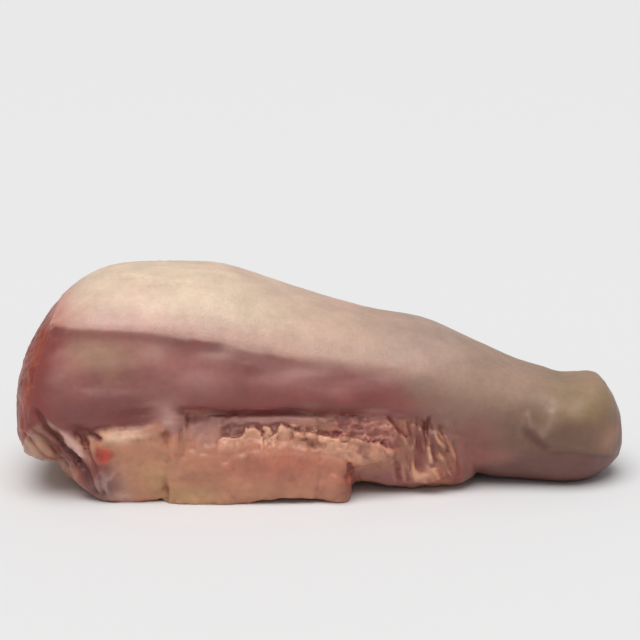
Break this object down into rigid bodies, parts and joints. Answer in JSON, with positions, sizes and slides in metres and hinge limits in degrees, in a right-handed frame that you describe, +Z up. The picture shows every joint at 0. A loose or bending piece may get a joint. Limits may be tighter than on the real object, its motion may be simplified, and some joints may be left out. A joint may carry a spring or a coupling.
{
  "type": "raw beef tongue",
  "caption": "Whole raw beef tongue lying on its underside: a thick humped body with a cut root, loose fatty tissue along its foot and a blunt tip.",
  "frame": {"origin": "on the table plane under the middle of the tongue's box", "axes": "+X along the tongue from the cut root to the tip, +Y to the far side, +Z up through the dorsum"},
  "size_m": [0.3, 0.1024, 0.1049],
  "materials": {
    "tongue_flesh": "moist, soft sheen, cream on top, mauve-brown on the flanks, pink fat and red muscle where cut"
  },
  "bodies": {
    "root": {"beef_tongue": "tongue_flesh"}
  },
  "joints": []
}
